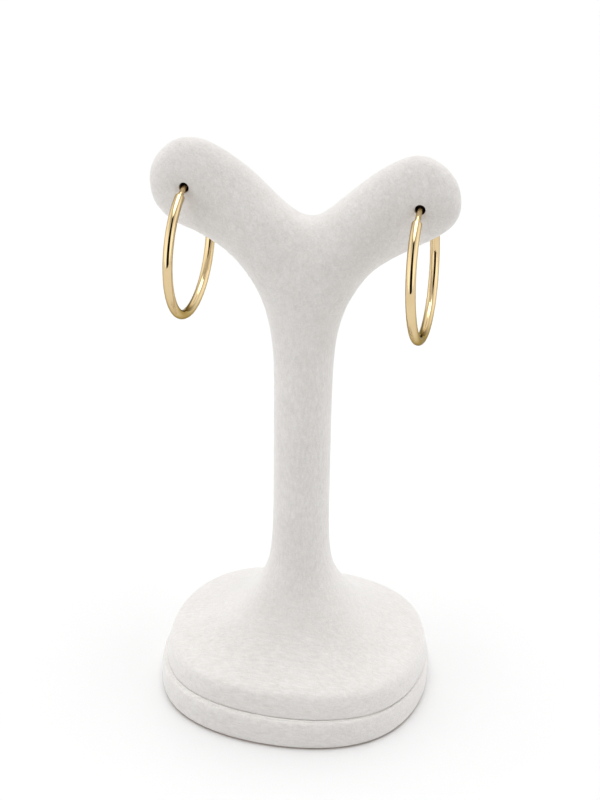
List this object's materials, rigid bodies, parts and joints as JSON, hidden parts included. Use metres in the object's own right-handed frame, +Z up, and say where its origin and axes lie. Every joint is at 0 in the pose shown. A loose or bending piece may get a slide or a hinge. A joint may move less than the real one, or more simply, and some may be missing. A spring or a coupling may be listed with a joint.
{
  "type": "hoop earring pair on display stand",
  "caption": "Plain gold tube hoop earrings hung by their ear wires through the arms of a white leatherette Y-shaped stand with a round column and flared foot.",
  "frame": {"origin": "middle of the foot's flat underside, which is the bottom centre of the bounding box", "axes": "+Z up along the column, +X along the two arms towards the right-hand hoop, +Y towards the back, so the front faces -Y"},
  "size_m": [0.0628, 0.056, 0.1246],
  "materials": {
    "leatherette": "off-white, fine grained, satin",
    "gold": "polished yellow gold"
  },
  "bodies": {
    "root": {"base_plate": "leatherette", "left_hoop": "gold", "right_hoop": "gold", "stand_tree": "leatherette"}
  },
  "joints": []
}
